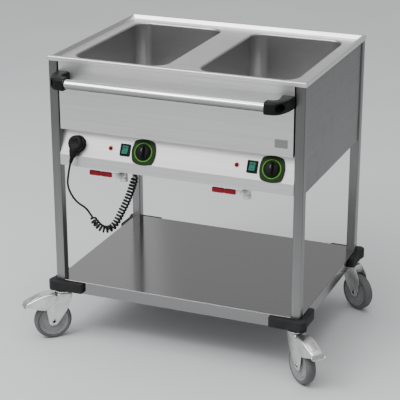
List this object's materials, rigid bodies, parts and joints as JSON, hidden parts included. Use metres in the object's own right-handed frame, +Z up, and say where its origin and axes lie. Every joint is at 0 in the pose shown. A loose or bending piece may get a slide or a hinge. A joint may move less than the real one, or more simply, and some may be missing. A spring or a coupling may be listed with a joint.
{
  "type": "heated serving trolley",
  "caption": "Stainless serving trolley with deep heated wells, push handle, slanted controls, drain valves, lower shelf and swivel casters, the front ones braked.",
  "frame": {"origin": "on the floor under the middle of the deck", "axes": "+X to the right and +Y to the rear as seen by the person who pushes it, +Z up; the handle and controls face -Y"},
  "size_m": [1.0467, 0.8041, 0.955],
  "materials": {
    "steel_sheet": "brushed stainless sheet",
    "steel_tube": "polished stainless tube",
    "zinc": "bright zinc plate",
    "tyre": "grey non-marking rubber",
    "black_rubber": "dull black",
    "black_plastic": "moulded black",
    "screw_steel": "bright steel",
    "plated_valve": "nickel plated",
    "red_grip": "dipped dark red sleeve",
    "green_rocker": "translucent green",
    "red_lens": "dark red lens"
  },
  "bodies": {
    "frame": {"blank_plate": "steel_sheet", "bottom_plate": "steel_sheet", "caster_heads": "zinc", "control_fascia": "steel_sheet", "cord_curly": "black_rubber", "cord_gland": "black_plastic", "cord_straight": "black_rubber", "corner_bumpers": "black_rubber", "dial_plate_left": "black_plastic", "dial_plate_right": "black_plastic", "drain_valve_left": "plated_valve", "drain_valve_right": "plated_valve", "front_panel": "steel_sheet", "handle_bar": "steel_tube", "handle_bracket_left": "black_plastic", "handle_bracket_right": "black_plastic", "handle_screws": "screw_steel", "heaters": "screw_steel", "leg_front_left": "steel_tube", "leg_front_right": "steel_tube", "leg_rear_left": "steel_tube", "leg_rear_right": "steel_tube", "park_socket": "black_plastic", "pilot_lamps": "red_lens", "plug": "black_plastic", "rear_panel": "steel_sheet", "shelf": "steel_sheet", "side_panel_left": "steel_sheet", "side_panel_right": "steel_sheet", "switch_frame_left": "black_plastic", "switch_frame_right": "black_plastic", "terminal_block": "black_plastic", "thermostats": "black_plastic", "top_deck": "steel_sheet", "well_left": "steel_sheet", "well_right": "steel_sheet"},
    "swivel_front_left": {"caster_fork_front_left": "zinc", "caster_axle_front_left": "zinc"},
    "wheel_front_left": {"caster_wheel_front_left": "tyre"},
    "pedal_front_left": {"caster_pedal_front_left": "zinc"},
    "swivel_front_right": {"caster_fork_front_right": "zinc", "caster_axle_front_right": "zinc"},
    "wheel_front_right": {"caster_wheel_front_right": "tyre"},
    "pedal_front_right": {"caster_pedal_front_right": "zinc"},
    "swivel_rear_left": {"caster_fork_rear_left": "zinc", "caster_axle_rear_left": "zinc"},
    "wheel_rear_left": {"caster_wheel_rear_left": "tyre"},
    "swivel_rear_right": {"caster_fork_rear_right": "zinc", "caster_axle_rear_right": "zinc"},
    "wheel_rear_right": {"caster_wheel_rear_right": "tyre"},
    "knob_left": {"knob_left": "black_plastic"},
    "rocker_left": {"rocker_left": "green_rocker"},
    "lever_left": {"valve_lever_left": "screw_steel", "lever_grip_left": "red_grip"},
    "knob_right": {"knob_right": "black_plastic"},
    "rocker_right": {"rocker_right": "green_rocker"},
    "lever_right": {"valve_lever_right": "screw_steel", "lever_grip_right": "red_grip"}
  },
  "joints": [
    {"name": "swivel_front_left_turn", "type": "hinge", "parent": "frame", "child": "swivel_front_left", "pos_m": [-0.4025, -0.295, 0.15], "axis": [0, 0, 1], "continuous": true},
    {"name": "wheel_front_left_spin", "type": "hinge", "parent": "swivel_front_left", "child": "wheel_front_left", "pos_m": [-0.43223, -0.32177, 0.0625], "axis": [0.6691, -0.7431, 0], "continuous": true},
    {"name": "pedal_front_left_press", "type": "hinge", "parent": "swivel_front_left", "child": "pedal_front_left", "pos_m": [-0.42777, -0.31775, 0.145], "axis": [0.6691, -0.7431, 0], "range_deg": [0, 12]},
    {"name": "swivel_front_right_turn", "type": "hinge", "parent": "frame", "child": "swivel_front_right", "pos_m": [0.4025, -0.295, 0.15], "axis": [0, 0, 1], "continuous": true},
    {"name": "wheel_front_right_spin", "type": "hinge", "parent": "swivel_front_right", "child": "wheel_front_right", "pos_m": [0.43269, -0.32124, 0.0625], "axis": [0.6561, 0.7547, 0], "continuous": true},
    {"name": "pedal_front_right_press", "type": "hinge", "parent": "swivel_front_right", "child": "pedal_front_right", "pos_m": [0.42816, -0.31731, 0.145], "axis": [0.6561, 0.7547, 0], "range_deg": [0, 12]},
    {"name": "swivel_rear_left_turn", "type": "hinge", "parent": "frame", "child": "swivel_rear_left", "pos_m": [-0.4025, 0.295, 0.15], "axis": [0, 0, 1], "continuous": true},
    {"name": "wheel_rear_left_spin", "type": "hinge", "parent": "swivel_rear_left", "child": "wheel_rear_left", "pos_m": [-0.40945, 0.33439, 0.0625], "axis": [-0.9848, -0.1736, 0], "continuous": true},
    {"name": "swivel_rear_right_turn", "type": "hinge", "parent": "frame", "child": "swivel_rear_right", "pos_m": [0.4025, 0.295, 0.15], "axis": [0, 0, 1], "continuous": true},
    {"name": "wheel_rear_right_spin", "type": "hinge", "parent": "swivel_rear_right", "child": "wheel_rear_right", "pos_m": [0.43679, 0.2744, 0.0625], "axis": [0.515, 0.8572, 0], "continuous": true},
    {"name": "knob_left_turn", "type": "hinge", "parent": "frame", "child": "knob_left", "pos_m": [-0.1045, -0.29474, 0.67459], "axis": [0, -0.915, 0.4035], "range_deg": [-270, 0]},
    {"name": "rocker_left_tip", "type": "hinge", "parent": "frame", "child": "rocker_left", "pos_m": [-0.1675, -0.29474, 0.67459], "axis": [1, 0, 0], "range_deg": [0, 20]},
    {"name": "lever_left_swing", "type": "hinge", "parent": "frame", "child": "lever_left", "pos_m": [-0.2095, -0.257, 0.572], "axis": [0, -1, 0], "range_deg": [0, 90]},
    {"name": "knob_right_turn", "type": "hinge", "parent": "frame", "child": "knob_right", "pos_m": [0.3145, -0.29474, 0.67459], "axis": [0, -0.915, 0.4035], "range_deg": [-270, 0]},
    {"name": "rocker_right_tip", "type": "hinge", "parent": "frame", "child": "rocker_right", "pos_m": [0.2515, -0.29474, 0.67459], "axis": [1, 0, 0], "range_deg": [0, 20]},
    {"name": "lever_right_swing", "type": "hinge", "parent": "frame", "child": "lever_right", "pos_m": [0.2095, -0.257, 0.572], "axis": [0, -1, 0], "range_deg": [0, 90]}
  ]
}
